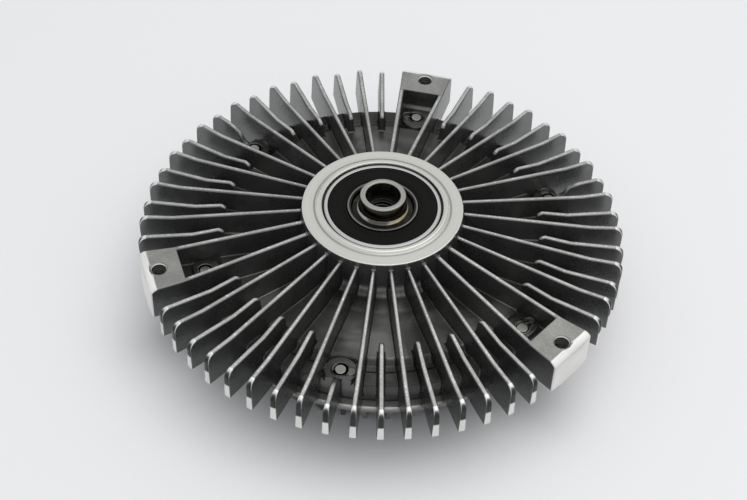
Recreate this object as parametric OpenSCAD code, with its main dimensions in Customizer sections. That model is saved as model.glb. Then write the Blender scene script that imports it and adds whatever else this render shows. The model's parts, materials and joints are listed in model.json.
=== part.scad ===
// Viscous fan clutch, resting on the fins of its front cover with the drive shaft pointing up.
// The axis of rotation is Z, and z = 0 is the surface that the front fins stand on.

/* [Housing casting] */
// Diameter over the tips of the cooling fins
fin_outer_d = 195; // [185:1:205]
// Height of the hub above the back plate
hub_h = 16; // [14:0.5:20]
// Radial width of the hub round the bearing
hub_wall = 8.8; // [7:0.1:11]
// Thickness of the back plate
plate_t = 4; // [3.5:0.1:5]
// Width of the raised foot round the hub
foot_w = 11.2; // [8:0.1:14]
// Height of the raised foot round the hub
foot_h = 0.7; // [0.4:0.1:1.2]
// Fillet between the hub and its foot
hub_fillet = 4; // [2:0.5:6]
// Width of the flat land at the rim of the back plate
rim_land_w = 6.5; // [5.5:0.1:7.5]
// Width of the ring groove inside the rim land
rim_groove_w = 5.5; // [4:0.1:6.5]
// Drop from the back plate to the rim land
rim_drop = 1.6; // [1.2:0.1:2]
// Drop from the back plate to the floor of the ring groove
rim_groove_drop = 2.6; // [2.1:0.1:3]
// Wall between the cover screws and the outside of the drum
drum_wall = 4.5; // [4:0.1:5.5]

/* [Housing fins] */
// Long fins in each third of the circle
long_fins_per_third = 10; // [8:2:12]
// Thickness of a fin at its highest edge
fin_tip_t = 1.6; // [1.2:0.1:2]
// Thickness of a fin at its lowest edge
fin_root_t = 3; // [2.4:0.1:3.4]
// Drop from the hub face to the inner end of a long fin
fin_hub_drop = 3; // [2:0.1:4]
// Drop from the hub face to the outer end of a long fin
fin_rim_drop = 9; // [8:0.1:11]
// Diameter where the slope of the long fins ends
fin_slope_d = 168; // [150:1:176]
// Radius of the upper corner at a fin's outer end
fin_corner_r = 3.7; // [2:0.1:5]
// Diameter where the short fins begin
short_fin_d = 126.4; // [116:0.2:136]
// Drop from a long fin's outer end to a short fin's
short_fin_drop = 1.2; // [0.5:0.1:2]
// Rise of a short fin at its inner end
short_fin_rise = 2; // [1:0.1:2.5]
// Distance of a cut-back fin from the cover screw inboard of it
boss_fin_gap = 6.8; // [5.5:0.1:8]
// Gap between the fins and the cover flange
fin_flange_gap = 1.9; // [1:0.1:3]

/* [Fan lugs] */
// Distance from the fin tips to the fan screw circle
lug_edge = 6.3; // [5.5:0.1:7.5]
// Distance from the fan screw circle to the inner wall of a lug
lug_inboard = 8.9; // [7:0.1:10]
// Core diameter of the fan screw threads
fan_thread_core_d = 5; // [4.2:0.1:6]
// Diameter of the chamfer at a fan screw hole
fan_hole_chamfer_d = 7.3; // [6.5:0.1:8]
// Thickness of the two long fins that run into a lug
lug_fin_t = 1.9; // [1.6:0.1:2.4]
// Fillet at the foot of a lug's inner wall
lug_fillet = 2; // [1:0.5:4]

/* [Cover screws] */
// Diameter of the circle of cover screws
cover_screw_pcd = 146; // [142:1:152]
// Thread diameter of the cover screws
cover_screw_d = 4.9; // [4:0.1:5.5]
// Clearance round a cover screw in its thread
screw_thread_gap = 0.05; // [0.03:0.01:0.1]
// Clearance round a cover screw in the cover
screw_hole_gap = 0.3; // [0.2:0.05:0.5]
// Head diameter of the cover screws
screw_head_d = 8.5; // [7.5:0.1:9]
// Head height of the cover screws
screw_head_h = 3.2; // [2.5:0.1:4]
// Width across the flats of the socket in a screw head
screw_socket_af = 4; // [3:0.5:4.5]
// Radius of the pad round a screw boss
boss_pad_r = 6.5; // [5:0.1:7]
// Radius of the raised boss round a screw
boss_r = 3.3; // [3:0.1:4]
// Height of a screw boss above its pad
boss_h = 0.3; // [0.2:0.1:0.6]
// Height of a screw tip above its boss
screw_tip_h = 0.2; // [0.1:0.1:0.5]
// Radius of the round mark beside each boss
mark_r = 2.15; // [1.5:0.05:2.5]
// Distance of the mark from its boss
mark_offset = 4; // [3:0.1:4.5]

/* [Bearing] */
// Outside diameter of the ball bearing
bearing_od = 47; // [46:0.5:50]
// Bore of the ball bearing
bearing_bore_d = 25; // [24:0.5:26]
// Width of the ball bearing
bearing_w = 12; // [11:0.5:13]
// Height of the bearing above the hub face
bearing_proud = 0.4; // [0:0.1:0.8]
// Diameter of the balls
ball_d = 6.35; // [5.8:0.05:6.5]
// Number of balls
ball_count = 10; // [8:1:11]
// Clearance between the balls, the races and the cage
ball_gap = 0.2; // [0.15:0.05:0.3]
// Thickness of a bearing seal
seal_t = 0.95; // [0.7:0.05:1.2]
// Depth of a bearing seal below the end of the bearing
seal_set = 0.35; // [0.2:0.05:0.5]
// Clearance between a seal and the inner race
seal_lip_gap = 0.2; // [0.1:0.05:0.3]
// Clearance of the bearing in its press seats
press_gap = 0.02; // [0.01:0.01:0.05]
// Height of the hub lip above the hub face
lip_h = 1; // [0.5:0.1:1.5]
// Width of the groove between the bearing and the hub lip
lip_gap = 0.7; // [0.4:0.1:1]
// Width of the hub lip
lip_w = 1.8; // [1.2:0.1:2.4]
// Radius of the cove outside the hub lip
lip_cove_r = 1.6; // [1.5:0.1:2]
// Width of the housing shoulder under the outer race
race_shoulder_w = 2.9; // [2:0.1:3.5]

/* [Drive shaft] */
// Diameter of the shaft's spigot
spigot_d = 18.2; // [17:0.1:20]
// Height of the spigot above the hub face
spigot_h = 6.5; // [5:0.5:10]
// Bore at the mouth of the spigot
spigot_bore_d = 13.7; // [13:0.1:15]
// Depth of the bore at the mouth of the spigot
spigot_bore_depth = 9; // [6:0.5:11]
// Core diameter of the shaft's thread
shaft_thread_core_d = 10.2; // [8.5:0.1:12]
// Length of the shaft's thread
shaft_thread_l = 14; // [10:0.5:15]
// Drop from the hub face to the shoulder round the spigot
shaft_shoulder_drop = 0.8; // [0.4:0.1:1.5]
// Width of the bevel at the foot of the spigot
spigot_foot_w = 0.6; // [0.3:0.1:1.2]
// Width of the collar under the inner race
collar_w = 2.5; // [2:0.1:3]

/* [Rotor] */
// Thickness of the rotor disc
rotor_t = 2; // [1.6:0.1:3]
// Clearance round the rim of the rotor
rotor_rim_gap = 1; // [0.6:0.1:1.5]
// Clearance between the rotor and the valve plate
rotor_plate_gap = 1.3; // [1.25:0.05:2]
// Wall of the rotor hub
rotor_hub_wall = 7; // [5:0.5:8]
// Height of the rotor hub above the disc
rotor_hub_rise = 5.3; // [3:0.1:6]
// Diameter of the rotor seat on the shaft
rotor_seat_d = 18; // [16:0.5:19]
// Number of ring lands on the rotor
land_count = 5; // [3:1:6]
// Width of a ring land
land_w = 1.7; // [1.2:0.1:2]
// Height of a ring land
land_h = 1.8; // [1.2:0.1:2.5]
// Shear gap between the lands
land_gap = 0.5; // [0.4:0.05:0.7]
// Diameter of the feed holes through the rotor
feed_hole_d = 5; // [3:0.5:6]

/* [Front cover] */
// Height of the front fins below the bowl of the cover
front_fin_h = 10; // [8:0.5:12]
// Thickness of the cover's floor
cover_floor_t = 4; // [3.5:0.1:5]
// Height of the fluid reservoir
reservoir_h = 11.2; // [10:0.2:14]
// Thickness of the reservoir's outer wall
bowl_wall = 4; // [3.5:0.1:6]
// Thickness of the cover flange
flange_t = 4.3; // [4:0.1:5.5]
// Width of the flange outside the drum
flange_ledge_w = 4.2; // [3:0.1:5]
// Number of front fins
front_fin_count = 48; // [36:6:54]
// Thickness of a front fin at its lower edge
front_fin_tip_t = 1.6; // [1.2:0.1:2]
// Thickness of a front fin at its root
front_fin_root_t = 2.6; // [2.2:0.1:3]
// Diameter of the round recess inside the front fins
recess_d = 70; // [68:1:76]
// Outside diameter of the front fins where they stand
front_foot_d = 136; // [126:1:140]
// Clearance round the screw heads between the front fins
screw_pocket_gap = 1.3; // [0.8:0.1:1.6]

/* [Cover seal] */
// Width of the seal groove in the cover
seal_groove_w = 2.4; // [2:0.1:2.6]
// Depth of the seal groove in the cover
seal_groove_depth = 1.5; // [1.2:0.1:2]
// Wall on each side of the seal groove
seal_groove_wall = 1.15; // [0.9:0.05:1.3]
// Clearance on each side of the seal in its groove
seal_side_gap = 0.05; // [0.03:0.01:0.1]

/* [Valve] */
// Thickness of the valve plate
valve_plate_t = 1.2; // [1:0.1:1.5]
// Height of the valve plate above the cover's face
valve_plate_proud = 0.6; // [0.3:0.1:0.8]
// Gap between the valve plate and the drum
valve_plate_rim_gap = 1.5; // [1:0.1:2]
// Width of the ledge that carries the valve plate
valve_ledge_w = 6.5; // [6.2:0.1:8]
// Clearance of the valve plate in its recess
valve_plate_gap = 0.2; // [0.1:0.05:0.4]
// Diameter of the valve port
port_d = 6; // [4:0.5:7]
// Distance of the valve port from the axis
port_r = 26; // [22:0.5:30]
// Thickness of the valve lever
lever_t = 0.5; // [0.3:0.05:0.8]
// Width of the valve lever
lever_w = 9; // [8.6:0.2:11]
// Distance of the lever rivets from the axis
lever_rivet_r = 15; // [14:0.5:18]
// Spacing of the lever rivets
lever_rivet_pitch = 4.8; // [4.4:0.1:5]
// Diameter of a lever rivet
lever_rivet_d = 2; // [1.6:0.1:2.2]
// Thickness of a lever rivet's heads
lever_rivet_head_h = 0.5; // [0.4:0.05:0.7]
// Number of drive screws in the valve plate
plate_screw_count = 4; // [3:1:6]
// Diameter of the drive screws in the valve plate
plate_screw_d = 3; // [2.4:0.1:3.2]
// Head thickness of the drive screws
plate_screw_head_h = 0.8; // [0.5:0.1:0.9]
// Length of the drive screws in the cover
plate_screw_l = 5; // [4:0.5:7]
// Height of the pump dam on the valve plate
dam_h = 0.85; // [0.5:0.05:0.9]
// Length of the pump dam along the rim
dam_l = 12; // [8:0.5:16]
// Width of the return slot beside the pump dam
return_slot_w = 3; // [2:0.2:4]

/* [Control] */
// Diameter of the control pin
pin_d = 3; // [2.5:0.1:3.5]
// Running clearance of the control pin
pin_gap = 0.05; // [0.02:0.01:0.08]
// Clearance at each end of the control pin
pin_end_gap = 0.05; // [0.03:0.01:0.2]
// Radius of the pin boss inside the cover
pin_boss_r = 6.5; // [5.5:0.1:8]
// Height of the pin boss above the reservoir's floor
pin_boss_h = 5; // [4:0.1:6.5]
// Width of the pin seal's section
pin_seal_w = 1.25; // [1:0.05:1.5]
// Height of the pin seal
pin_seal_h = 2.2; // [1.6:0.1:2.6]
// Length of the bimetal strip
strip_l = 58; // [52:1:60]
// Width of the bimetal strip
strip_w = 12; // [9:0.5:14]
// Thickness of the bimetal strip
strip_t = 0.9; // [0.6:0.1:1.2]
// Bow of the bimetal strip when cold
strip_bow = 1.8; // [1.4:0.1:2.4]
// Height of the strip's ends above the standing surface
strip_end_z = 4; // [3.4:0.1:5]
// Length of a strip lug
strip_lug_l = 5; // [4:0.5:6]
// Clearance round the strip in its lugs
strip_gap = 0.2; // [0.1:0.05:0.3]
// Wall of a strip lug round its slot
strip_lug_wall = 1.6; // [1.2:0.1:2]

/* [Hidden] */
$fn = 96;
through = 1;
third_count = 3;
fin_root_cover = 0.6;
pad_rise = 0.1;

// Heights, from the standing surface up
bowl_z = front_fin_h;
reservoir_z = bowl_z + cover_floor_t;
valve_plate_z = reservoir_z + reservoir_h;
valve_plate_top = valve_plate_z + valve_plate_t;
part_z = valve_plate_top - valve_plate_proud;
flange_z = part_z - flange_t;
rotor_z = valve_plate_top + rotor_plate_gap;
rotor_top = rotor_z + rotor_t;
rotor_land_top = rotor_top + land_h;
chamber_top = rotor_land_top + land_gap;
plate_z = chamber_top + plate_t;
foot_z = plate_z + foot_h;
rim_z = plate_z - rim_drop;
groove_z = plate_z - rim_groove_drop;
hub_z = plate_z + hub_h;
bearing_top = hub_z + bearing_proud;
bearing_z = bearing_top - bearing_w;
fin_bottom = part_z + fin_flange_gap;
fin_root_z = chamber_top + fin_root_cover;
fin_hub_z = hub_z - fin_hub_drop;
fin_rim_z = hub_z - fin_rim_drop;
short_fin_z = fin_rim_z - short_fin_drop;
boss_pad_z = plate_z + pad_rise;
boss_z = boss_pad_z + boss_h;
screw_tip_z = boss_z + screw_tip_h;

// Radii, from the cover screws in and out
screw_circle_r = cover_screw_pcd / 2;
screw_r = cover_screw_d / 2;
screw_core_r = screw_r + screw_thread_gap;
drum_r = screw_circle_r + drum_wall;
flange_r = drum_r + flange_ledge_w;
groove_seal_r = screw_circle_r - screw_core_r - seal_groove_wall;
groove_seal_in_r = groove_seal_r - seal_groove_w;
chamber_r = groove_seal_in_r - seal_groove_wall;
drum_mid_r = (chamber_r + drum_r) / 2;
rotor_r = chamber_r - rotor_rim_gap;
valve_plate_r = chamber_r - valve_plate_rim_gap;
reservoir_r = valve_plate_r - valve_ledge_w;
ledge_mid_r = (reservoir_r + valve_plate_r) / 2;
bowl_r = reservoir_r + bowl_wall;
rim_groove_out_r = drum_r - rim_land_w;
plate_r = rim_groove_out_r - rim_groove_w;
edge_chamfer = 0.8;
socket_depth = 0.6 * screw_head_h;
hex_sides = 6;

// Hub and bearing
bearing_r = bearing_od / 2;
bearing_bore_r = bearing_bore_d / 2;
ball_r = ball_d / 2;
pitch_r = (bearing_r + bearing_bore_r) / 2;
ball_z = bearing_z + bearing_w / 2;
race_groove_r = ball_r + ball_gap;
race_gap = 4.9;
cage_edge = 0.6;
outer_land_r = pitch_r + race_gap / 2;
inner_land_r = pitch_r - race_gap / 2;
seal_depth = seal_t + seal_set;
seal_seat_w = 1.5;
seal_outer_r = outer_land_r + seal_seat_w;
seal_inner_r = inner_land_r - seal_seat_w;
race_chamfer = 0.4;
lip_in_r = bearing_r + lip_gap;
lip_out_r = lip_in_r + lip_w;
lip_cove_out_r = lip_out_r + lip_cove_r;
hub_r = bearing_r + hub_wall;
foot_r = hub_r + foot_w;
passage_r = bearing_r - race_shoulder_w;

// Shaft and rotor
spigot_r = spigot_d / 2;
shoulder_z = hub_z - shaft_shoulder_drop;
spigot_top = hub_z + spigot_h;
spigot_bore_z = spigot_top - spigot_bore_depth;
thread_end_z = spigot_bore_z - shaft_thread_l;
drill_angle = 30;
collar_r = bearing_bore_r + collar_w;
rotor_seat_r = rotor_seat_d / 2;
rotor_hub_r = rotor_seat_r + rotor_hub_wall;
rotor_hub_top = rotor_top + rotor_hub_rise;
swage_w = 0.9;
swage_h = 0.8;
land_pitch = 2 * (land_w + land_gap);
land_out_r = rotor_r - land_w;
feed_hole_count = 6;

// Fins and lugs
fin_outer_r = fin_outer_d / 2;
fin_slope_r = fin_slope_d / 2;
third_slots = 2 * long_fins_per_third;
slot_angle = 360 / (third_count * third_slots);
first_slot_angle = -90;
short_fin_r = short_fin_d / 2;
short_fin_lead = 2.3;
short_fin_slope_w = 12.8;
short_fin_slope_r = short_fin_r + short_fin_slope_w;
boss_fin_r = screw_circle_r + boss_fin_gap;
boss_fin_lead = 1.7;
boss_fin_foot_drop = 4;
boss_fin_slope_w = 5;
boss_fin_slope_drop = 1;
fan_circle_r = fin_outer_r - lug_edge;
lug_in_r = fan_circle_r - lug_inboard;
lug_flat_w = 10;
lug_web_z = rim_z - edge_chamfer / 2;
lug_web_gap = 1;
fan_core_r = fan_thread_core_d / 2;
fan_chamfer_r = fan_hole_chamfer_d / 2;

// Cover, valve and control
recess_r = recess_d / 2;
front_foot_r = front_foot_d / 2;
front_fin_inset = 2;
front_fin_out_r = flange_r - front_fin_inset;
front_fin_top_z = flange_z + flange_t / 3;
front_corner = 2;
screw_pocket_r = screw_head_d / 2 + screw_pocket_gap;
lever_end_r = lever_w / 2;
lever_z = valve_plate_z - lever_t;
lever_rivet_head_gap = 0.6;
lever_rivet_head_r = (lever_rivet_pitch - lever_rivet_head_gap) / 2;
plate_screw_head_w = 1;
plate_screw_head_r = plate_screw_d / 2 + plate_screw_head_w;
dam_angle = 20;
dam_in_r = ledge_mid_r;
pin_r = pin_d / 2;
pin_seat_r = pin_r + pin_gap;
pin_seal_r = pin_seat_r + pin_seal_w;
pin_boss_top = reservoir_z + pin_boss_h;
pin_seal_z = bowl_z + cover_floor_t;
pin_guide_z = pin_seal_z + pin_seal_h;
strip_half = strip_l / 2;
strip_curve_r = (strip_half * strip_half + strip_bow * strip_bow) / (2 * strip_bow);
strip_mid_z = strip_end_z + strip_bow;
strip_fn = 720;
pin_z = strip_mid_z + strip_t / 2 + pin_end_gap;
pin_top = lever_z - pin_end_gap;
lug_in_x = strip_half - strip_lug_l + strip_gap;
strip_lug_bow = strip_bow * (1 - lug_in_x * lug_in_x / (strip_half * strip_half));

CAST = [0.72, 0.72, 0.70];
STEEL = [0.62, 0.62, 0.63];
RUBBER = [0.05, 0.05, 0.05];
SPRING = [0.55, 0.53, 0.48];
BRASS = [0.72, 0.58, 0.30];

// Angle of a fin position, counted from the first cut-back fin
function slot_at(i) = first_slot_angle + i * slot_angle;

// Places its children at each cover screw
module at_cover_screws() {
    for (i = [0 : 2 * third_count - 1])
        rotate(slot_at(i * third_slots / 2))
            translate([screw_circle_r, 0, 0])
                children();
}

// Places its children at each fan lug
module at_lugs() {
    for (k = [0 : third_count - 1])
        rotate(slot_at((k + 0.5) * third_slots))
            children();
}

// A fin along +X: its side view, cut to sides that draft from the tip to the root
module drafted_fin(from_r, to_r, tip_z, tip_t, root_z, root_t) {
    intersection() {
        rotate([90, 0, 0])
            linear_extrude(2 * root_t, center = true)
                children();
        translate([from_r, 0, 0])
            rotate([90, 0, 90])
                linear_extrude(to_r - from_r)
                    polygon([[-root_t / 2, root_z], [root_t / 2, root_z],
                        [tip_t / 2, tip_z], [-tip_t / 2, tip_z]]);
    }
}

// Concave fillet in the corner that opens up and outward from a point
module corner_fillet(corner, r) {
    translate(corner)
        difference() {
            square(r);
            translate([r, r])
                circle(r);
        }
}

// Outer end shared by the fins and lugs, with its rounded upper corner
module fin_end(end_r, top_z) {
    translate([drum_mid_r, fin_bottom])
        square([end_r - drum_mid_r, top_z - fin_corner_r - fin_bottom]);
    translate([drum_mid_r, fin_bottom])
        square([end_r - fin_corner_r - drum_mid_r, top_z - fin_bottom]);
    translate([end_r - fin_corner_r, top_z - fin_corner_r])
        circle(fin_corner_r);
}

// Side view of a long fin, from the hub to the fin tips
module long_fin_side() {
    fin_end(fin_outer_r, fin_rim_z);
    polygon([[hub_r - through, fin_root_z], [fin_slope_r, fin_root_z], [fin_slope_r, fin_rim_z],
        [hub_r, fin_hub_z], [hub_r - through, fin_hub_z]]);
}

// Side view of a short fin
module short_fin_side() {
    top = short_fin_z + short_fin_rise;
    fin_end(fin_outer_r, short_fin_z);
    polygon([[short_fin_r - through, fin_root_z], [short_fin_slope_r, fin_root_z],
        [short_fin_slope_r, short_fin_z], [short_fin_r + short_fin_lead, top],
        [short_fin_r, top - short_fin_lead / 2]]);
}

// Side view of a short fin that is cut back for a cover screw
module boss_fin_side() {
    intersection() {
        fin_end(fin_outer_r, short_fin_z);
        polygon([[drum_mid_r, fin_bottom], [fin_outer_r, fin_bottom], [fin_outer_r, short_fin_z],
            [boss_fin_r + boss_fin_lead + boss_fin_slope_w, short_fin_z],
            [boss_fin_r + boss_fin_lead, short_fin_z - boss_fin_slope_drop],
            [boss_fin_r, short_fin_z - boss_fin_foot_drop], [drum_mid_r, fin_root_z]]);
    }
}

// One housing fin, drafted to its side view
module housing_fin(from_r) {
    drafted_fin(from_r - 2 * through, fin_outer_r + through,
        fin_hub_z, fin_tip_t, fin_bottom, fin_root_t)
        children();
}

module housing_fins() {
    for (i = [1 : 2 : third_count * third_slots - 1])
        if (abs(i % third_slots - third_slots / 2) > 1)
            rotate(slot_at(i))
                housing_fin(hub_r)
                    long_fin_side();
    for (k = [0 : third_count - 1], j = [2 : 2 : third_slots - 2])
        if (j != third_slots / 2)
            rotate(slot_at(k * third_slots + j))
                housing_fin(short_fin_r)
                    short_fin_side();
    for (k = [0 : third_count - 1])
        rotate(slot_at(k * third_slots))
            housing_fin(drum_mid_r)
                boss_fin_side();
}

// A point on the fin beside a lug, from its place along and across that fin
function beside_lug(along, across) = [along * cos(slot_angle) - across * sin(slot_angle),
    along * sin(slot_angle) + across * cos(slot_angle)];

// The same point on the fin at the lug's other side
function mirrored(p) = [p.x, -p.y];

// Plan of a fan lug and the two long fins that run into it
module lug_plan() {
    half_t = lug_fin_t / 2;
    root = hub_r - 2 * through;
    tip = sqrt(fin_outer_r * fin_outer_r - half_t * half_t);
    wall = (lug_in_r - half_t * sin(slot_angle)) / cos(slot_angle);
    polygon([mirrored(beside_lug(root, half_t)), mirrored(beside_lug(tip, half_t)),
        [fin_outer_r, -lug_flat_w / 2], [fin_outer_r, lug_flat_w / 2],
        beside_lug(tip, half_t), beside_lug(root, half_t), beside_lug(root, -half_t),
        beside_lug(wall, -half_t), mirrored(beside_lug(wall, -half_t)), mirrored(beside_lug(root, -half_t))]);
}

// Side view of the web between the drum and a lug
module lug_web_side() {
    translate([drum_mid_r, fin_bottom + lug_web_gap])
        square([lug_in_r + through - drum_mid_r, lug_web_z - fin_bottom - lug_web_gap]);
    translate([lug_in_r, 0])
        mirror([1, 0])
            corner_fillet([0, lug_web_z], lug_fillet);
}

// Lugs that join two long fins each and take the fan's screws
module fan_lugs() {
    half_w = fin_outer_r * tan(slot_angle);
    at_lugs() {
        intersection() {
            linear_extrude(hub_z)
                lug_plan();
            rotate([90, 0, 0])
                linear_extrude(4 * half_w, center = true)
                    long_fin_side();
        }
        intersection() {
            rotate([90, 0, 0])
                linear_extrude(2 * half_w, center = true)
                    lug_web_side();
            linear_extrude(hub_z)
                polygon([[0, 0], [fin_outer_r, -half_w], [fin_outer_r, half_w]]);
        }
    }
}

// Outside of the hub, back plate and drum
module housing_outline() {
    polygon([[0, part_z], [drum_r, part_z],
        [drum_r, rim_z - edge_chamfer], [drum_r - edge_chamfer, rim_z],
        [rim_groove_out_r, rim_z], [rim_groove_out_r - edge_chamfer, groove_z],
        [plate_r + 2 * edge_chamfer, groove_z], [plate_r, plate_z], [foot_r, plate_z],
        [foot_r - foot_h, foot_z], [hub_r, foot_z], [hub_r, hub_z - race_chamfer],
        [hub_r - race_chamfer, hub_z], [0, hub_z]]);
    corner_fillet([hub_r, foot_z], hub_fillet);
    difference() {
        translate([0, hub_z])
            square([lip_cove_out_r, lip_h]);
        translate([lip_cove_out_r, hub_z + lip_cove_r])
            circle(lip_cove_r);
    }
}

// Ring lands that hang from the roof of the working chamber
module chamber_lands() {
    for (i = [1 : land_count])
        translate([land_out_r - i * land_pitch + land_w + land_gap, rotor_top + land_gap])
            square([land_w, land_h + through]);
}

// Hollow of the housing: working chamber, shaft passage and bearing seat
module housing_hollow() {
    difference() {
        translate([0, part_z - through])
            square([chamber_r, chamber_top - part_z + through]);
        chamber_lands();
    }
    square([passage_r, bearing_z]);
    translate([0, bearing_z])
        square([bearing_r + press_gap, bearing_w + lip_h + through]);
    translate([0, hub_z - lip_h])
        square([lip_in_r, 2 * lip_h + through]);
}

// Round pad, screw boss and round mark at each cover screw
module screw_bosses() {
    at_cover_screws() {
        intersection() {
            translate([0, 0, groove_z - through])
                cylinder(r = boss_pad_r, h = boss_pad_z - groove_z + through);
            translate([-screw_circle_r, 0, 0])
                cylinder(r = drum_r, h = boss_pad_z + through);
        }
        translate([0, 0, groove_z])
            cylinder(r = boss_r, h = boss_z - groove_z);
        translate([0, mark_offset, groove_z])
            cylinder(r = mark_r, h = boss_z - groove_z);
    }
}

module fan_screw_holes() {
    at_lugs()
        translate([fan_circle_r, 0, 0]) {
            translate([0, 0, fin_bottom - through])
                cylinder(r = fan_core_r, h = fin_rim_z - fin_bottom + 2 * through);
            translate([0, 0, fin_rim_z - fan_chamfer_r + fan_core_r])
                cylinder(r1 = fan_core_r, r2 = fan_chamfer_r + through,
                    h = fan_chamfer_r - fan_core_r + through);
        }
}

// Finned casting that carries the bearing and the fan
module housing() {
    color(CAST)
        difference() {
            union() {
                rotate_extrude()
                    difference() {
                        housing_outline();
                        housing_hollow();
                    }
                housing_fins();
                fan_lugs();
                screw_bosses();
            }
            fan_screw_holes();
            at_cover_screws()
                translate([0, 0, part_z - through])
                    cylinder(r = screw_core_r, h = screw_tip_z - part_z + 2 * through);
        }
}

// Outside of the front cover's bowl and flange
module cover_outline() {
    polygon([[0, bowl_z], [bowl_r - edge_chamfer, bowl_z], [bowl_r, bowl_z + edge_chamfer],
        [bowl_r, flange_z - flange_t / 2], [flange_r - flange_t, flange_z],
        [flange_r, flange_z + flange_t / 2],
        [flange_r, part_z - edge_chamfer], [flange_r - edge_chamfer, part_z], [0, part_z]]);
}

// Hollow of the front cover: reservoir, valve plate recess and seal groove
module cover_hollow() {
    difference() {
        translate([0, reservoir_z])
            square([reservoir_r, reservoir_h + through]);
        square([pin_boss_r, pin_boss_top]);
    }
    translate([0, valve_plate_z])
        square([valve_plate_r + valve_plate_gap, part_z]);
    translate([groove_seal_in_r, part_z - seal_groove_depth])
        square([seal_groove_w, part_z]);
}

// Side view of a front fin, from the round recess to the flange
module front_fin_side() {
    polygon([[recess_r, bowl_z + through], [recess_r, front_corner], [recess_r + front_corner, 0],
        [front_foot_r - front_corner, 0], [front_foot_r, front_corner], [front_fin_out_r, flange_z],
        [front_fin_out_r - through, front_fin_top_z], [bowl_r - bowl_wall / 2, front_fin_top_z],
        [bowl_r - bowl_wall / 2, bowl_z + through]]);
}

module front_fins() {
    for (i = [0 : front_fin_count - 1])
        rotate(i * 360 / front_fin_count)
            drafted_fin(recess_r - through, flange_r,
                0, front_fin_tip_t, flange_z + flange_t / 2, front_fin_root_t)
                front_fin_side();
}

// Lug that holds one end of the bimetal strip in a slot, open on one side
module strip_lug() {
    slot_h = strip_t + strip_lug_bow + 2 * strip_gap;
    slot_z = strip_end_z - strip_t / 2 - strip_gap;
    difference() {
        translate([strip_half - strip_lug_l, -strip_w / 2 - strip_lug_wall, slot_z - strip_lug_wall])
            cube([strip_lug_l + strip_lug_wall, strip_w + strip_lug_wall,
                bowl_z - slot_z + strip_lug_wall + through]);
        translate([strip_half - strip_lug_l - through, -strip_w / 2 - strip_gap, slot_z])
            cube([strip_lug_l + strip_gap + through, strip_w + strip_gap + through, slot_h]);
    }
}

// Finned cover that closes the chamber and holds the fluid reservoir
module front_cover() {
    color(CAST)
        difference() {
            union() {
                rotate_extrude()
                    difference() {
                        cover_outline();
                        cover_hollow();
                    }
                front_fins();
                strip_lug();
                rotate(180)
                    mirror([0, 1, 0])
                        strip_lug();
            }
            at_cover_screws() {
                translate([0, 0, flange_z - through])
                    cylinder(r = screw_r + screw_hole_gap, h = flange_t + 2 * through);
                translate([0, 0, -through])
                    cylinder(r = screw_pocket_r, h = flange_z + through);
            }
            for (i = [0 : plate_screw_count - 1])
                rotate((i + 0.5) * 360 / plate_screw_count)
                    translate([ledge_mid_r, 0, valve_plate_z - plate_screw_l])
                        cylinder(d = plate_screw_d, h = plate_screw_l + through);
            translate([0, 0, bowl_z - through])
                cylinder(r = pin_seat_r, h = pin_boss_top);
            translate([0, 0, pin_seal_z])
                cylinder(r = pin_seal_r, h = pin_boss_top);
            translate([reservoir_r - through, -return_slot_w / 2, valve_plate_z - return_slot_w / 2])
                cube([valve_plate_r - reservoir_r, return_slot_w, return_slot_w]);
        }
}

module cover_screw() {
    difference() {
        union() {
            translate([0, 0, flange_z])
                cylinder(r = screw_r, h = screw_tip_z - flange_z - edge_chamfer / 2);
            translate([0, 0, screw_tip_z - edge_chamfer / 2])
                cylinder(r1 = screw_r, r2 = screw_r - edge_chamfer / 2, h = edge_chamfer / 2);
            translate([0, 0, flange_z - screw_head_h])
                cylinder(d = screw_head_d, h = screw_head_h);
        }
        translate([0, 0, flange_z - screw_head_h - through])
            cylinder(d = screw_socket_af / cos(180 / hex_sides), h = socket_depth + through, $fn = hex_sides);
    }
}

// Screws that clamp the cover, with their tips showing in the housing's bosses
module cover_screws() {
    color(STEEL)
        at_cover_screws()
            cover_screw();
}

// Rubber ring squeezed between the cover and the drum
module cover_seal() {
    ring_w = seal_groove_w - 2 * seal_side_gap;
    color(RUBBER)
        rotate_extrude()
            translate([groove_seal_in_r + seal_side_gap, part_z - seal_groove_depth])
                intersection() {
                    square([ring_w, seal_groove_depth]);
                    translate([ring_w / 2, seal_groove_depth / 2])
                        circle(d = ring_w);
                }
}

// Section of the circle of balls, cut into both races
module ball_track() {
    translate([pitch_r, ball_z])
        circle(race_groove_r);
}

module bearing_outer_race() {
    color(STEEL)
        rotate_extrude()
            difference() {
                polygon([[outer_land_r, bearing_z], [bearing_r - race_chamfer, bearing_z],
                    [bearing_r, bearing_z + race_chamfer], [bearing_r, bearing_top - race_chamfer],
                    [bearing_r - race_chamfer, bearing_top], [outer_land_r, bearing_top]]);
                ball_track();
                for (z = [bearing_z - through, bearing_top - seal_depth])
                    translate([outer_land_r - through, z])
                        square([seal_seat_w + through, seal_depth + through]);
            }
}

module bearing_inner_race() {
    color(STEEL)
        rotate_extrude()
            difference() {
                polygon([[bearing_bore_r, bearing_z + race_chamfer],
                    [bearing_bore_r + race_chamfer, bearing_z],
                    [inner_land_r, bearing_z], [inner_land_r, bearing_top],
                    [bearing_bore_r + race_chamfer, bearing_top],
                    [bearing_bore_r, bearing_top - race_chamfer]]);
                ball_track();
                for (z = [bearing_z - through, bearing_top - seal_depth - seal_set])
                    translate([seal_inner_r, z])
                        square([seal_seat_w + through, seal_depth + seal_set + through]);
            }
}

// Places its children at each ball
module at_balls() {
    for (i = [0 : ball_count - 1])
        rotate(i * 360 / ball_count)
            translate([pitch_r, 0, ball_z])
                children();
}

module bearing_balls() {
    color(STEEL)
        at_balls()
            sphere(ball_r);
}

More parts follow.
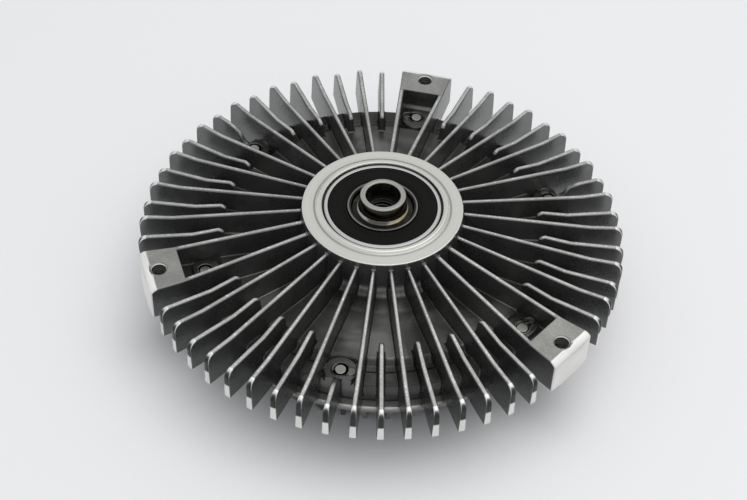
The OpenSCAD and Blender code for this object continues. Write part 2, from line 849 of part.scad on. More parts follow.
// Ring that spaces the balls in round pockets
module bearing_cage() {
    cage_w = race_gap / 2;
    cage_h = 2 * (race_groove_r + cage_edge);
    color(BRASS)
        difference() {
            rotate_extrude()
                translate([pitch_r - cage_w / 2, ball_z - cage_h / 2])
                    square([cage_w, cage_h]);
            at_balls()
                sphere(race_groove_r);
        }
}

// Section of a rubber seal, from its seat in the outer race to its lip
module bearing_seal_section() {
    lip_r = seal_inner_r + seal_lip_gap;
    polygon([[lip_r, 0], [seal_outer_r - press_gap, 0], [seal_outer_r - press_gap, seal_t - seal_set],
        [seal_outer_r - 2 * seal_set, seal_t], [lip_r + seal_seat_w, seal_t],
        [lip_r + seal_seat_w - seal_set, seal_t - seal_set], [lip_r + seal_set, seal_t - seal_set / 2],
        [lip_r, seal_t / 2]]);
}

module bearing_seal_rear() {
    color(RUBBER)
        translate([0, 0, bearing_top - seal_depth])
            rotate_extrude()
                bearing_seal_section();
}

module bearing_seal_front() {
    color(RUBBER)
        translate([0, 0, bearing_z + seal_depth])
            mirror([0, 0, 1])
                rotate_extrude()
                    bearing_seal_section();
}

// Solid of the shaft from its swaged lower end to the top of the spigot
module shaft_outline() {
    seat_r = bearing_bore_r - press_gap;
    polygon([[0, rotor_z - swage_h], [rotor_seat_r, rotor_z - swage_h],
        [rotor_seat_r + swage_w, rotor_z],
        [rotor_seat_r - press_gap, rotor_z], [rotor_seat_r - press_gap, rotor_hub_top],
        [collar_r - race_chamfer, rotor_hub_top], [collar_r, rotor_hub_top + race_chamfer],
        [collar_r, bearing_z], [seat_r, bearing_z], [seat_r, shoulder_z - race_chamfer],
        [seat_r - race_chamfer, shoulder_z], [spigot_r + spigot_foot_w, shoulder_z],
        [spigot_r, shoulder_z + spigot_foot_w], [spigot_r, spigot_top - race_chamfer],
        [spigot_r - race_chamfer, spigot_top], [0, spigot_top]]);
}

// Mouth, threaded hole and drill point of the shaft
module shaft_hollow() {
    bore_r = spigot_bore_d / 2;
    core_r = shaft_thread_core_d / 2;
    polygon([[0, spigot_top + through], [bore_r + race_chamfer + through, spigot_top + through],
        [bore_r, spigot_top - race_chamfer], [bore_r, spigot_bore_z], [core_r, spigot_bore_z],
        [core_r, thread_end_z], [0, thread_end_z - core_r * tan(drill_angle)]]);
}

// Hollow steel shaft that the engine drives
module drive_shaft() {
    color(STEEL)
        rotate_extrude()
            difference() {
                shaft_outline();
                shaft_hollow();
            }
}

// Driven disc whose ring lands run between those of the housing
module rotor_disc() {
    feed_circle_r = (rotor_hub_r + land_out_r - land_count * land_pitch) / 2;
    color(CAST)
        difference() {
            rotate_extrude() {
                translate([rotor_seat_r, rotor_z])
                    square([rotor_hub_wall, rotor_hub_top - rotor_z]);
                translate([rotor_seat_r, rotor_z])
                    square([rotor_r - rotor_seat_r, rotor_t]);
                for (i = [0 : land_count])
                    translate([land_out_r - i * land_pitch, rotor_z])
                        square([land_w, rotor_t + land_h]);
            }
            for (i = [0 : feed_hole_count - 1])
                rotate(i * 360 / feed_hole_count)
                    translate([feed_circle_r, 0, rotor_z - through])
                        cylinder(d = feed_hole_d, h = rotor_t + 2 * through);
        }
}

// Plate that parts the reservoir from the working chamber
module valve_plate() {
    color(STEEL)
        difference() {
            translate([0, 0, valve_plate_z])
                cylinder(r = valve_plate_r, h = valve_plate_t);
            translate([port_r, 0, valve_plate_z - through])
                cylinder(d = port_d, h = valve_plate_t + 2 * through);
            translate([ledge_mid_r, 0, valve_plate_z - through])
                cylinder(d = return_slot_w - 2 * valve_plate_gap, h = valve_plate_t + 2 * through);
            at_lever_rivets()
                translate([0, 0, valve_plate_z - through])
                    cylinder(d = lever_rivet_d, h = valve_plate_t + 2 * through);
            for (i = [0 : plate_screw_count - 1])
                rotate((i + 0.5) * 360 / plate_screw_count)
                    translate([ledge_mid_r, 0, valve_plate_z - through])
                        cylinder(d = plate_screw_d, h = valve_plate_t + 2 * through);
        }
}

// Drive screws that hold the valve plate on its ledge
module valve_plate_screws() {
    color(STEEL)
        for (i = [0 : plate_screw_count - 1])
            rotate((i + 0.5) * 360 / plate_screw_count)
                translate([ledge_mid_r, 0, 0]) {
                    translate([0, 0, valve_plate_z - plate_screw_l])
                        cylinder(r = plate_screw_d / 2 - press_gap, h = plate_screw_l + valve_plate_t);
                    translate([0, 0, valve_plate_top])
                        cylinder(r = plate_screw_head_r, h = plate_screw_head_h);
                }
}

// Places its children at each lever rivet
module at_lever_rivets() {
    for (side = [-1, 1])
        translate([-lever_rivet_r, side * lever_rivet_pitch / 2, 0])
            children();
}

// Leaf spring that covers the valve port while the clutch is cold
module valve_lever() {
    color(SPRING)
        translate([0, 0, lever_z])
            linear_extrude(lever_t)
                difference() {
                    union() {
                        translate([-lever_rivet_r - lever_end_r, -lever_w / 2])
                            square([lever_rivet_r + lever_end_r + port_r, lever_w]);
                        translate([port_r, 0])
                            circle(lever_end_r);
                    }
                    at_lever_rivets()
                        circle(d = lever_rivet_d);
                }
}

module lever_rivets() {
    color(STEEL)
        at_lever_rivets() {
            translate([0, 0, lever_z - lever_rivet_head_h])
                cylinder(r = lever_rivet_head_r, h = lever_rivet_head_h);
            translate([0, 0, lever_z])
                cylinder(r = lever_rivet_d / 2 - press_gap, h = lever_t + valve_plate_t);
            translate([0, 0, valve_plate_top])
                cylinder(r = lever_rivet_head_r, h = lever_rivet_head_h);
        }
}

// Low dam that turns fluid at the rim back into the return slot
module pump_dam() {
    color(BRASS)
        rotate(dam_angle)
            translate([0, 0, valve_plate_top])
                intersection() {
                    difference() {
                        cylinder(r = valve_plate_r, h = dam_h);
                        translate([0, 0, -through])
                            cylinder(r = dam_in_r, h = dam_h + 2 * through);
                    }
                    translate([0, -dam_l / 2, 0])
                        cube([valve_plate_r + through, dam_l, dam_h]);
                }
}

// Pin that carries the strip's movement to the valve lever
module control_pin() {
    color(STEEL)
        rotate_extrude()
            polygon([[0, pin_z], [pin_r - race_chamfer, pin_z], [pin_r, pin_z + race_chamfer],
                [pin_r, pin_top - race_chamfer], [pin_r - race_chamfer, pin_top], [0, pin_top]]);
}

module pin_seal() {
    color(RUBBER)
        rotate_extrude()
            translate([pin_seat_r, pin_seal_z])
                square([pin_seal_w - press_gap, pin_seal_h]);
}

// Bush that guides the pin and keeps its seal in place
module pin_guide() {
    color(BRASS)
        rotate_extrude()
            translate([pin_seat_r, pin_guide_z])
                square([pin_seal_w - press_gap, pin_boss_top - pin_guide_z]);
}

// Bowed strip of two metals that straightens as it warms
module bimetal_strip() {
    color(SPRING)
        translate([0, strip_w / 2, strip_mid_z])
            rotate([90, 0, 0])
                linear_extrude(strip_w)
                    intersection() {
                        translate([0, -strip_curve_r])
                            difference() {
                                circle(strip_curve_r + strip_t / 2, $fn = strip_fn);
                                circle(strip_curve_r - strip_t / 2, $fn = strip_fn);
                            }
                        translate([-strip_half, -strip_bow - 2 * strip_t])
                            square([strip_l, strip_bow + 4 * strip_t]);
                    }
}

housing();
front_cover();
cover_screws();
cover_seal();
bearing_outer_race();
bearing_inner_race();
bearing_balls();
bearing_cage();
bearing_seal_rear();
bearing_seal_front();
drive_shaft();
rotor_disc();
valve_plate();
valve_plate_screws();
valve_lever();
lever_rivets();
pump_dam();
control_pin();
pin_seal();
pin_guide();
bimetal_strip();
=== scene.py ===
"""Looks of the viscous fan clutch: rounded castings, finishes, threads, studio and camera."""

import json
import math
from types import SimpleNamespace

import bmesh
import bpy
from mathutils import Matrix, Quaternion, Vector


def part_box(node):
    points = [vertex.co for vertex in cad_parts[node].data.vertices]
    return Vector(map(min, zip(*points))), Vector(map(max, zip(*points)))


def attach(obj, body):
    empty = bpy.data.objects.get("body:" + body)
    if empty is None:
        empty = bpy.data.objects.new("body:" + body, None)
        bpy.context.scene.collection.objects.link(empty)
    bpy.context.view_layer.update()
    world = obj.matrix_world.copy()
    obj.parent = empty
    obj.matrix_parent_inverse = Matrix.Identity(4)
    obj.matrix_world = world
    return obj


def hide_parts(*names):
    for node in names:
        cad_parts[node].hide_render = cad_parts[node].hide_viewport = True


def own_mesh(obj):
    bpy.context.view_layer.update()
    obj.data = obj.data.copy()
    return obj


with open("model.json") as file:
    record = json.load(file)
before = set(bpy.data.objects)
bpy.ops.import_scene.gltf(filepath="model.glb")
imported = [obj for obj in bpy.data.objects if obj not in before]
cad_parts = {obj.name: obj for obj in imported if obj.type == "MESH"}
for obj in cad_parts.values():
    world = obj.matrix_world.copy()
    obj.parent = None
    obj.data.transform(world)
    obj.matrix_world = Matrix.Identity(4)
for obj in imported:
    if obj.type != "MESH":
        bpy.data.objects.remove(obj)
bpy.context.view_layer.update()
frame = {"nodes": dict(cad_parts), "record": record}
nodes = frame["nodes"]
mounts = {mount["name"]: mount for mount in frame["record"]["mounts"]}

MM = 0.001

# Sizes of the casting that the frame doesn't give
HUB_LIP_H = 1.0 * MM
HUB_H = 16.0 * MM
HUB_WALL = 8.8 * MM
HUB_FACE_W = 4.7 * MM
LUG_L = 15.4 * MM
LUG_HALF_ANGLE = math.radians(7)
FLANGE_LEDGE_W = 4.2 * MM
RIM_W = 12.0 * MM

# Sizes of the shaft and bearing that the frame doesn't give
BEARING_BORE_R = 12.5 * MM
PRESS_GAP = 0.02 * MM
BALL_GAP = 0.2 * MM
SEAL_SEAT_W = 1.5 * MM
SEAL_LIP_GAP = 0.2 * MM
INNER_SEAT_DEPTH = 1.65 * MM
OUTER_SEAT_DEPTH = 1.3 * MM
ROTOR_SEAT_R = 9.0 * MM
SWAGE_W = 0.9 * MM
SHOULDER_DROP = 0.8 * MM
SPIGOT_COVE_W = 1.0 * MM
MOUTH_R = 6.85 * MM
DRILL_ANGLE = math.radians(30)
EDGE_W = 0.4 * MM

# Places on the casting, from the frame
FIN_TIP_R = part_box("housing")[1].x
FIN_FOOT_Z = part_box("housing")[0].z
HUB_FACE_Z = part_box("housing")[1].z - HUB_LIP_H
PLATE_Z = HUB_FACE_Z - HUB_H
HUB_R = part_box("bearing_outer_race")[1].x + HUB_WALL
COVE_R = HUB_R - HUB_FACE_W
DRUM_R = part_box("front_cover")[1].x - FLANGE_LEDGE_W
PLATE_R = DRUM_R - RIM_W
LUG_WALL_R = FIN_TIP_R - LUG_L
LUG_TOP_Z = mounts["fan_screws"]["pos_m"][2]
LUG_COUNT = mounts["fan_screws"]["dims"]["count"]
LUG_HOLE_R = mounts["fan_screws"]["dims"]["hole_r_mm"] * MM
FAN_CIRCLE_R = mounts["fan_screws"]["dims"]["pcd_mm"] / 2 * MM

# Places on the shaft, from the frame
SHAFT_END_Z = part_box("drive_shaft")[0].z
SPIGOT_TOP_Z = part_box("drive_shaft")[1].z
COLLAR_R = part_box("drive_shaft")[1].x
SHOULDER_Z = HUB_FACE_Z - SHOULDER_DROP
SPIGOT_R = mounts["shaft_spigot"]["dims"]["r_mm"] * MM
THREAD_R = mounts["shaft_thread"]["dims"]["r_mm"] * MM
THREAD_L = mounts["shaft_thread"]["dims"]["length_mm"] * MM
THREAD_LOW_Z = mounts["shaft_thread"]["pos_m"][2] - THREAD_L / 2
THREAD_TOP_Z = THREAD_LOW_Z + THREAD_L
ROTOR_LOW_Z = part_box("rotor_disc")[0].z
ROTOR_TOP_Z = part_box("rotor_disc")[1].z

# Places on the bearing and the bimetal strip, from the frame
RACE_LOW_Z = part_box("bearing_inner_race")[0].z
RACE_TOP_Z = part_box("bearing_inner_race")[1].z
INNER_LAND_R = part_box("bearing_inner_race")[1].x
OUTER_RACE_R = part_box("bearing_outer_race")[1].x
BALL_R = (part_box("bearing_balls")[1].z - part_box("bearing_balls")[0].z) / 2
BALL_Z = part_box("bearing_balls")[1].z - BALL_R
BALL_CIRCLE_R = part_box("bearing_balls")[1].x - BALL_R
OUTER_LAND_R = 2 * BALL_CIRCLE_R - INNER_LAND_R
TRACK_R = BALL_R + BALL_GAP
TRACK_HALF_ANGLE = math.acos((BALL_CIRCLE_R - INNER_LAND_R) / TRACK_R)
SEAL_LOW_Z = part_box("bearing_seal_rear")[0].z
SEAL_TOP_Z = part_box("bearing_seal_rear")[1].z
SEAL_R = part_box("bearing_seal_rear")[1].x

# Finishes, in linear colour
# Painted shade: the casting's skin is darkened to stand in for the shade between the fins
SHADED_SKIN_COLOUR = (0.185, 0.188, 0.185, 1)
# Painted shade on the plate between the fins, and cloudy patches of painted sheen on it
SHADED_PLATE_COLOUR = (0.055, 0.055, 0.05, 1)
PLATE_PAINTED_SHEEN_COLOUR = (0.18, 0.18, 0.168, 1)
# Painted light: upward faces of fins, lugs and pads are lighter than the sides of the same casting
LIT_EDGE_COLOUR = (0.43, 0.43, 0.41, 1)
# Bright lower part of the fin ends, and painted highlights on fin corners, lug noses and hole rims
BRIGHT_END_AND_GLINT_COLOUR = (0.80, 0.795, 0.77, 1)
# Painted shade on the upper part of the fin ends
SHADED_END_COLOUR = (0.035, 0.036, 0.035, 1)
LIT_LUG_COLOUR = (0.29, 0.29, 0.272, 1)
LIT_PAD_COLOUR = (0.15, 0.15, 0.14, 1)
HUB_COLOUR = (0.57, 0.562, 0.525, 1)
WORN_HUB_COLOUR = (0.49, 0.48, 0.45, 1)
# Painted shade, given as grime, in recesses, in the bore and low on the rim
SHADE_AND_GRIME_COLOUR = (0.016, 0.0155, 0.0145, 1)
OIL_COLOUR = (0.30, 0.225, 0.06, 1)
RUBBER_COLOUR = (0.0042, 0.0042, 0.0038, 1)
DUST_COLOUR = (0.010, 0.0097, 0.0088, 1)
ZINC_COLOUR = (0.22, 0.22, 0.21, 1)
WARM_ZINC_COLOUR = (0.25, 0.24, 0.205, 1)
RACE_COLOUR = (0.50, 0.50, 0.49, 1)
# Painted shade: a darker copy of the race steel for the inner race
SHADED_RACE_COLOUR = (0.17, 0.168, 0.16, 1)
SHAFT_COLOUR = (0.34, 0.33, 0.305, 1)
# Painted shade: threads darkened to stand in for the shade inside their holes
SHADED_THREAD_COLOUR = (0.13, 0.13, 0.122, 1)
STRIP_STEEL_COLOUR = (0.50, 0.50, 0.49, 1)
STRIP_BRASS_COLOUR = (0.62, 0.48, 0.27, 1)
BRASS_COLOUR = (0.70, 0.54, 0.27, 1)
FLOOR_COLOUR = (0.81, 0.815, 0.835, 1)
SURROUND_COLOUR = (0.97, 0.985, 1.0, 1)
LAMP_COLOUR = (1.0, 0.985, 0.96)


# Shader helpers
def feed(tree, socket, value):
    """Links a socket to another node's output, or sets its value."""
    if isinstance(value, bpy.types.NodeSocket):
        tree.links.new(value, socket)
    else:
        socket.default_value = value


def add_node(tree, kind, settings=None, **inputs):
    """Adds a shader node, and feeds the inputs that are named."""
    node = tree.nodes.new("ShaderNode" + kind)
    for name, value in (settings or {}).items():
        setattr(node, name, value)
    for name, value in inputs.items():
        feed(tree, node.inputs[name.replace("_", " ")], value)
    return node


def calc(tree, operation, first, second=0.0):
    """The result of a sum on one or two values."""
    node = add_node(tree, "Math", {"operation": operation})
    feed(tree, node.inputs[0], first)
    feed(tree, node.inputs[1], second)
    return node.outputs[0]


def all_of(tree, *masks):
    """A mask that is strong only where all the masks are."""
    result = masks[0]
    for mask in masks[1:]:
        result = calc(tree, "MULTIPLY", result, mask)
    return result


def any_of(tree, *masks):
    """A mask that is strong where any of the masks is."""
    result = masks[0]
    for mask in masks[1:]:
        result = calc(tree, "MAXIMUM", result, mask)
    return result


def outside(tree, mask):
    """A mask that is strong where the mask is weak."""
    return calc(tree, "SUBTRACT", 1.0, mask)


def weaken(tree, mask, share):
    """A mask at a share of its strength."""
    return calc(tree, "MULTIPLY", mask, share)


def ease(tree, value, start, end, low=0.0, high=1.0):
    """A smooth step from low to high as the value goes from start to end."""
    node = add_node(tree, "MapRange", {"interpolation_type": "SMOOTHSTEP"}, Value=value,
                    From_Min=start, From_Max=end, To_Min=low, To_Max=high)
    return node.outputs["Result"]


def blend_colour(tree, mask, first, second, mode="MIX"):
    """The first colour where the mask is 0 and the second where it is 1."""
    node = add_node(tree, "Mix", {"data_type": "RGBA", "blend_type": mode})
    feed(tree, node.inputs["Factor"], mask)
    feed(tree, node.inputs[6], first)
    feed(tree, node.inputs[7], second)
    return node.outputs[2]


def blend_value(tree, mask, first, second):
    """The first value where the mask is 0 and the second where it is 1."""
    node = add_node(tree, "Mix", {"data_type": "FLOAT"})
    feed(tree, node.inputs["Factor"], mask)
    feed(tree, node.inputs[2], first)
    feed(tree, node.inputs[3], second)
    return node.outputs[0]


def split(tree, vector):
    """The three parts of a vector."""
    return add_node(tree, "SeparateXYZ", Vector=vector).outputs


def radius_of(tree, parts):
    """Distance from the axis of rotation."""
    square = calc(tree, "ADD", calc(tree, "POWER", parts["X"], 2.0), calc(tree, "POWER", parts["Y"], 2.0))
    return calc(tree, "SQRT", square)


def new_group(name, inputs, outputs):
    """An empty node group with named value sockets: its tree, its inputs and its outputs."""
    group = bpy.data.node_groups.new(name, "ShaderNodeTree")
    for label, value in inputs.items():
        socket = group.interface.new_socket(name=label, in_out="INPUT", socket_type="NodeSocketFloat")
        socket.default_value = value
    for label in outputs:
        group.interface.new_socket(name=label, in_out="OUTPUT", socket_type="NodeSocketFloat")
    return group, group.nodes.new("NodeGroupInput").outputs, group.nodes.new("NodeGroupOutput").inputs


def place(tree, group, **inputs):
    """Places a node group in a material with its own values, and gives its outputs."""
    node = add_node(tree, "Group", {"node_tree": group}, **inputs)
    return node.outputs


# Effects that several finishes share
def make_casting_grain():
    """Fine grain, pits and cloudy patches of a die-cast skin."""
    tree, inputs, outputs = new_group("casting_grain", {"Grain scale": 900.0},
                                      ("Height", "Mottle", "Sparkle"))
    place_on = add_node(tree, "TexCoord").outputs["Object"]
    grain = add_node(tree, "TexNoise", Vector=place_on, Scale=inputs["Grain scale"],
                     Detail=5.0, Roughness=0.65)
    pits = add_node(tree, "TexNoise", Vector=place_on, Scale=420.0, Detail=2.0)
    clouds = add_node(tree, "TexNoise", Vector=place_on, Scale=70.0, Detail=4.0, Roughness=0.6)
    pit_depth = weaken(tree, ease(tree, pits.outputs["Fac"], 0.62, 0.74), 0.5)
    feed(tree, outputs["Height"], calc(tree, "SUBTRACT", grain.outputs["Fac"], pit_depth))
    feed(tree, outputs["Mottle"], ease(tree, clouds.outputs["Fac"], 0.3, 0.7))
    # Sparkle: grain speckles, used as painted glints on the casting's upward edges
    feed(tree, outputs["Sparkle"], ease(tree, grain.outputs["Fac"], 0.5, 0.72))
    return tree


def make_turned_rings():
    """Rings that a lathe tool leaves round the axis."""
    tree, inputs, outputs = new_group("turned_rings", {"Ring scale": 2500.0}, ("Height", "Band"))
    radius = radius_of(tree, split(tree, add_node(tree, "TexCoord").outputs["Object"]))
    fine_step = calc(tree, "MULTIPLY", radius, inputs["Ring scale"])
    broad_step = calc(tree, "MULTIPLY", radius, calc(tree, "MULTIPLY", inputs["Ring scale"], 0.25))
    along_a_line = {"noise_dimensions": "1D"}
    fine = add_node(tree, "TexNoise", along_a_line, W=fine_step, Scale=1.0, Detail=3.0, Roughness=0.7)
    broad = add_node(tree, "TexNoise", along_a_line, W=broad_step, Scale=1.0, Detail=1.0)
    feed(tree, outputs["Height"], fine.outputs["Fac"])
    feed(tree, outputs["Band"], ease(tree, broad.outputs["Fac"], 0.35, 0.65))
    return tree


def make_handling_marks():
    """Scuffs and finger marks on bare metal and rubber."""
    tree, inputs, outputs = new_group("handling_marks", {"Mark scale": 90.0}, ("Scuff", "Smear"))
    place_on = add_node(tree, "TexCoord").outputs["Object"]
    smear_scale = inputs["Mark scale"]
    scuff_scale = calc(tree, "MULTIPLY", smear_scale, 6.0)
    smear = add_node(tree, "TexNoise", Vector=place_on, Scale=smear_scale, Detail=3.0, Distortion=1.2)
    scuff = add_node(tree, "TexNoise", Vector=place_on, Scale=scuff_scale, Detail=6.0, Roughness=0.75)
    feed(tree, outputs["Smear"], ease(tree, smear.outputs["Fac"], 0.35, 0.7))
    feed(tree, outputs["Scuff"], ease(tree, scuff.outputs["Fac"], 0.58, 0.7))
    return tree


def make_recess_shade_and_grime():
    """Painted shade, given as dirt, in the recess round the spigot, at the middle of its foot and in its
    bore, and an oil stain on the spigot's side.
    """
    tree, inputs, outputs = new_group("recess_grime", {"Depth": 1.0}, ("Grime", "Oil"))
    place_on = add_node(tree, "TexCoord").outputs["Object"]
    spot = split(tree, place_on)
    radius = radius_of(tree, spot)
    # Painted dark reflection at the middle of the spigot's foot, front and back
    near_middle = ease(tree, calc(tree, "ABSOLUTE", spot["X"]), 5.5 * MM, 3.0 * MM, 0.0, 0.8)
    foot_shade = all_of(tree, ease(tree, radius, SPIGOT_R, SPIGOT_R + 0.3 * MM), near_middle)
    ring = any_of(tree, ease(tree, radius, SPIGOT_R + 0.8 * MM, SPIGOT_R + 1.2 * MM), foot_shade)
    recess = all_of(tree, ring,
                    ease(tree, radius, BEARING_BORE_R + 1.0 * MM, BEARING_BORE_R + 0.7 * MM),
                    ease(tree, spot["Z"], RACE_TOP_Z + 0.8 * MM, RACE_TOP_Z + 0.1 * MM))
    # Painted shade in the bore
    bore_shade = all_of(tree, ease(tree, radius, MOUTH_R + 0.25 * MM, MOUTH_R + 0.05 * MM),
                  ease(tree, spot["Z"], SPIGOT_TOP_Z - 0.4 * MM, SPIGOT_TOP_Z - 8.0 * MM, 0.1, 0.8))
    patches = add_node(tree, "TexNoise", Vector=place_on, Scale=350.0, Detail=4.0).outputs["Fac"]
    shade_and_dirt = all_of(tree, any_of(tree, recess, bore_shade), ease(tree, patches, 0.25, 0.6, 0.92, 1.0))
    side = all_of(tree, ease(tree, spot["X"], 2.5 * MM, 6.5 * MM),
                  ease(tree, radius, SPIGOT_R - 0.2 * MM, SPIGOT_R - 0.05 * MM))
    feed(tree, outputs["Grime"], all_of(tree, shade_and_dirt, inputs["Depth"]))
    feed(tree, outputs["Oil"], all_of(tree, side, ease(tree, patches, 0.35, 0.6, 0.35, 1.0)))
    return tree


casting_grain = make_casting_grain()
turned_rings = make_turned_rings()
handling_marks = make_handling_marks()
recess_grime = make_recess_shade_and_grime()


# Finishes
def new_finish(name, colour, metallic, roughness):
    """A material with its main shader: the material, its tree and the shader's inputs."""
    finish = bpy.data.materials.new(name)
    finish.use_nodes = True
    tree = finish.node_tree
    shader = tree.nodes["Principled BSDF"].inputs
    shader["Base Color"].default_value = colour
    shader["Metallic"].default_value = metallic
    shader["Roughness"].default_value = roughness
    return finish, tree, shader


def add_bump(tree, shader, height, strength, distance):
    """Raises the surface by a height pattern."""
    bump = add_node(tree, "Bump", Height=height, Strength=strength, Distance=distance)
    feed(tree, shader["Normal"], bump.outputs["Normal"])


def find_spot(tree):
    """Where a point of the casting lies and which way it faces; its lug wave is 1 at the middle of a lug."""
    coords = add_node(tree, "TexCoord").outputs
    parts = split(tree, coords["Object"])
    facing = split(tree, coords["Normal"])
    radius = radius_of(tree, parts)
    out_x = calc(tree, "MULTIPLY", parts["X"], facing["X"])
    out_y = calc(tree, "MULTIPLY", parts["Y"], facing["Y"])
    turn = calc(tree, "SUBTRACT", calc(tree, "ARCTAN2", parts["Y"], parts["X"]), math.pi / 2)
    return SimpleNamespace(
        place=coords["Object"], z=parts["Z"], radius=radius, up=facing["Z"],
        outward=calc(tree, "DIVIDE", calc(tree, "ADD", out_x, out_y), radius),
        lug_wave=calc(tree, "COSINE", calc(tree, "MULTIPLY", float(LUG_COUNT), turn)))


def mark_edges(tree, spot, on):
    """Marks what stands above the plate, the screw pads, and the upward faces of fins, lugs and pads, where
    light is painted; downward faces near the bottom take the same tone.
    """
    on.high = ease(tree, spot.z, PLATE_Z + 2.0 * MM, PLATE_Z + 4.5 * MM)
    on.pad = all_of(tree, ease(tree, spot.radius, PLATE_R - 1.5 * MM, PLATE_R + 0.5 * MM),
                    ease(tree, spot.z, PLATE_Z + 0.15 * MM, PLATE_Z + 0.3 * MM),
                    ease(tree, spot.z, PLATE_Z + 1.4 * MM, PLATE_Z + 1.0 * MM))
    upper = all_of(tree, ease(tree, spot.up, 0.92, 0.998), any_of(tree, on.high, on.pad))
    lower = all_of(tree, ease(tree, spot.up, -0.8, -0.99), ease(tree, spot.z, 2.0 * MM, 0.5 * MM))
    on.edge = any_of(tree, upper, lower)


def mark_rim(tree, spot, on):
    """Marks the plate, the ring low on the rim where shade is painted, and the flange under it, where light
    is painted.
    """
    level = ease(tree, spot.up, 0.4, 0.8)
    over_flange = ease(tree, spot.z, FIN_FOOT_Z, FIN_FOOT_Z + 0.5 * MM)
    between_pads = ease(tree, calc(tree, "ABSOLUTE", spot.lug_wave), 0.975, 0.95)
    on.plate = all_of(tree, level, outside(tree, on.high), over_flange)
    # Painted shade on the low rim wall and ledge between the pads
    on.low_rim = all_of(tree, over_flange, between_pads,
                        ease(tree, spot.radius, PLATE_R - 0.6 * MM, PLATE_R),
                        ease(tree, spot.radius, DRUM_R + 1.5 * MM, DRUM_R + 0.5 * MM),
                        ease(tree, spot.z, PLATE_Z - 0.2 * MM, PLATE_Z - 0.8 * MM),
                        any_of(tree, ease(tree, spot.outward, 0.4, 0.8), on.plate))
    # Painted light on the flange's upward face
    on.flange = all_of(tree, level, ease(tree, spot.radius, DRUM_R, DRUM_R + 0.4 * MM),
                       outside(tree, over_flange))


def mark_fin_ends(tree, spot, on):
    """Marks the fin corners, where glints are painted, the fin ends, where shade is painted, and the lower
    part of the ends, coloured bright.
    """
    # Painted glint on the fin corners where the top rounds down
    on.corner = all_of(tree, on.high,
                       ease(tree, spot.outward, 0.03, 0.15), ease(tree, spot.outward, 0.65, 0.45),
                       ease(tree, spot.radius, FIN_TIP_R - 5.0 * MM, FIN_TIP_R - 4.0 * MM))
    on.fin_end = all_of(tree, ease(tree, spot.outward, 0.55, 0.8),
                        ease(tree, spot.radius, FIN_TIP_R - 3.0 * MM, FIN_TIP_R - 1.5 * MM))
    # The lower part of the fin ends, coloured bright
    on.turned_end = all_of(tree, on.fin_end, ease(tree, spot.z, FIN_FOOT_Z + 9.5 * MM, FIN_FOOT_Z + 8.5 * MM))


def mark_lugs(tree, spot, on):
    """Marks the fan lugs, their noses and the rims of their holes, where highlights are painted."""
    lug_edge = math.cos(LUG_COUNT * LUG_HALF_ANGLE)
    on.lug = all_of(tree, ease(tree, spot.lug_wave, lug_edge - 0.02, lug_edge + 0.02),
                    ease(tree, spot.radius, LUG_WALL_R - 1.0 * MM, LUG_WALL_R))
    on.lug_nose = all_of(tree, on.lug, ease(tree, spot.outward, 0.05, 0.25),
                         ease(tree, spot.radius, FIN_TIP_R - 4.2 * MM, FIN_TIP_R - 3.6 * MM))
    lug_angle = calc(tree, "DIVIDE", calc(tree, "ARCCOSINE", spot.lug_wave), float(LUG_COUNT))
    squares = calc(tree, "ADD", calc(tree, "POWER", spot.radius, 2.0), FAN_CIRCLE_R ** 2)
    along = calc(tree, "MULTIPLY", spot.radius, calc(tree, "COSINE", lug_angle))
    product = calc(tree, "MULTIPLY", along, 2 * FAN_CIRCLE_R)
    from_hole = calc(tree, "SQRT", calc(tree, "SUBTRACT", squares, product))
    on.hole_rim = all_of(tree, on.lug, ease(tree, spot.up, 0.25, 0.45),
                         ease(tree, from_hole, LUG_HOLE_R + 0.7 * MM, LUG_HOLE_R + 0.5 * MM))


def mark_hub(tree, spot, on):
    """Marks the turned hub, its cove and lip, and the line at the cove where shade is painted."""
    on.hub = all_of(tree, ease(tree, spot.z, HUB_FACE_Z - 0.7 * MM, HUB_FACE_Z - 0.2 * MM),
                    ease(tree, spot.radius, HUB_R + 0.5 * MM, HUB_R))
    on.cove = all_of(tree, on.hub, ease(tree, spot.radius, COVE_R + 0.3 * MM, COVE_R - 0.1 * MM))
    on.seam = all_of(tree, ease(tree, spot.radius, COVE_R + 0.25 * MM, COVE_R - 0.05 * MM),
                     ease(tree, spot.radius, COVE_R - 1.1 * MM, COVE_R - 0.4 * MM))


